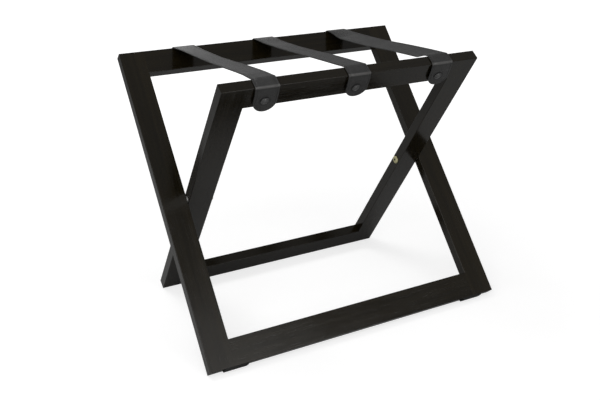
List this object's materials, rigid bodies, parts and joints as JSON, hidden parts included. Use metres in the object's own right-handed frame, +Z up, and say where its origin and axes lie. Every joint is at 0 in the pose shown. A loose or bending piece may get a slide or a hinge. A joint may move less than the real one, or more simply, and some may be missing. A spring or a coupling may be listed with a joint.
{
  "type": "folding luggage rack",
  "caption": "Folding luggage bench: two crossed flat-bar wooden frames pivoted at mid-leg, tied across the top by taut leather-look straps fastened with snaps.",
  "frame": {"origin": "on the floor, midway between the frames' feet, under the middle of the pivot axis", "axes": "+X to the right along the rails and the pivot axis, +Y to the back, +Z up; the narrower (inner) frame has its top at the front (-Y)"},
  "size_m": [0.611, 0.4122, 0.5087],
  "materials": {
    "stained_wood": "black-brown stain under satin lacquer",
    "raw_wood": "bare beech tenon",
    "strap_leather": "coarse-grained dark grey strap, stitched edge",
    "brass_plate": "yellow-plated, lightly worn",
    "zinc_plate": "bright zinc plate",
    "nickel_plate": "nickel plate",
    "black_enamel": "black enamel, semi-gloss",
    "foot_rubber": "matt black"
  },
  "bodies": {
    "outer_frame": {"outer_leg_left": "stained_wood", "outer_leg_right": "stained_wood", "outer_top_rail": "stained_wood", "outer_bottom_rail": "stained_wood", "outer_tenons": "raw_wood", "pivot_bolt_left": "brass_plate", "pivot_bolt_right": "brass_plate", "threaded_insert_left": "brass_plate", "threaded_insert_right": "brass_plate", "spacer_washer_left": "zinc_plate", "spacer_washer_right": "zinc_plate", "front_foot_left": "foot_rubber", "front_foot_right": "foot_rubber", "strap_left": "strap_leather", "strap_middle": "strap_leather", "strap_right": "strap_leather", "rear_snap_caps": "black_enamel", "rear_snap_studs": "nickel_plate", "rear_snap_sockets": "nickel_plate"},
    "inner_frame": {"inner_leg_left": "stained_wood", "inner_leg_right": "stained_wood", "inner_top_rail": "stained_wood", "inner_bottom_rail": "stained_wood", "inner_tenons": "raw_wood", "rear_foot_left": "foot_rubber", "rear_foot_right": "foot_rubber", "front_snap_caps": "black_enamel", "front_snap_studs": "nickel_plate", "front_snap_sockets": "nickel_plate"}
  },
  "joints": [
    {"name": "fold", "type": "hinge", "parent": "outer_frame", "child": "inner_frame", "pos_m": [0, 0, 0.25362], "axis": [-1, 0, 0], "range_deg": [0, 70], "deforming": ["strap_left", "strap_middle", "strap_right"]}
  ]
}
